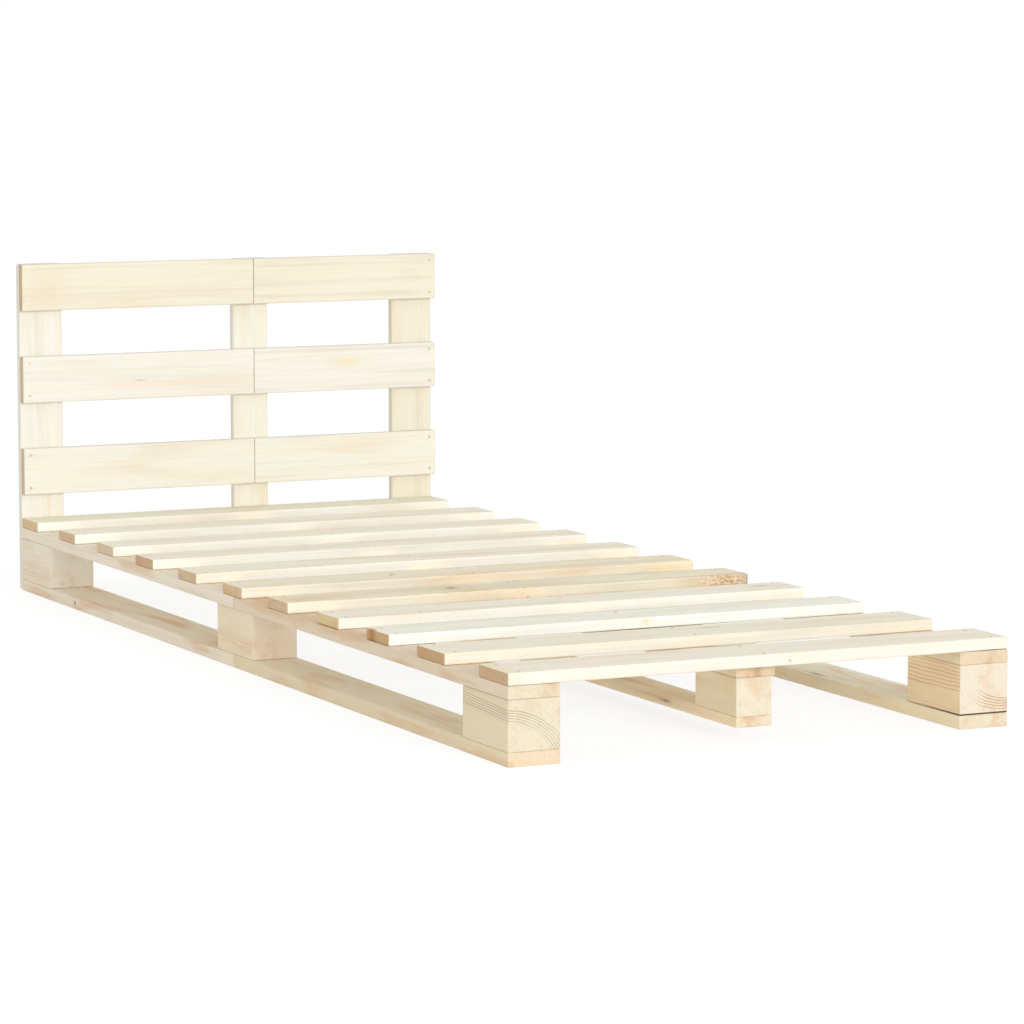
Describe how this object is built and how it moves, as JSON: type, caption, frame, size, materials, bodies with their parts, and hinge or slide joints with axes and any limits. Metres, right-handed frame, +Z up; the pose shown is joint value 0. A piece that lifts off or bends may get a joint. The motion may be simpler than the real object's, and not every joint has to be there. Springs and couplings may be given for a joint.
{
  "type": "pallet bed",
  "caption": "Low pallet-style bed frame in plain pine: a slatted deck over blocks and runners, with an open railed headboard.",
  "frame": {"origin": "on the floor, at the bottom centre of the whole bed's box", "axes": "+Y from the foot to the headboard, +Z up, +X to the right of someone who stands at the foot and faces the headboard"},
  "size_m": [0.8, 2.0184, 0.58],
  "materials": {
    "slats": "planed pine, unfinished",
    "rails": "planed pine, unfinished",
    "posts": "planed pine, unfinished",
    "runners": "planed pine, unfinished",
    "blocks": "sawn pine with open end grain",
    "bolts": "zinc plated"
  },
  "bodies": {
    "root": {"block_centre_foot": "blocks", "block_centre_head": "blocks", "block_centre_middle": "blocks", "block_left_foot": "blocks", "block_left_head": "blocks", "block_left_middle": "blocks", "block_right_foot": "blocks", "block_right_head": "blocks", "block_right_middle": "blocks", "bolt_centre_lower": "bolts", "bolt_centre_upper": "bolts", "bolt_left_lower": "bolts", "bolt_left_upper": "bolts", "bolt_right_lower": "bolts", "bolt_right_upper": "bolts", "bottom_runner_centre_foot": "runners", "bottom_runner_centre_head": "runners", "bottom_runner_left_foot": "runners", "bottom_runner_left_head": "runners", "bottom_runner_right_foot": "runners", "bottom_runner_right_head": "runners", "post_centre": "posts", "post_left": "posts", "post_right": "posts", "rail_low_left": "rails", "rail_low_right": "rails", "rail_middle_left": "rails", "rail_middle_right": "rails", "rail_top_left": "rails", "rail_top_right": "rails", "slat_01": "slats", "slat_02": "slats", "slat_03": "slats", "slat_04": "slats", "slat_05": "slats", "slat_06": "slats", "slat_07": "slats", "slat_08": "slats", "slat_09": "slats", "slat_10": "slats", "slat_11": "slats", "top_runner_centre_foot": "runners", "top_runner_centre_head": "runners", "top_runner_left_foot": "runners", "top_runner_left_head": "runners", "top_runner_right_foot": "runners", "top_runner_right_head": "runners"}
  },
  "joints": []
}
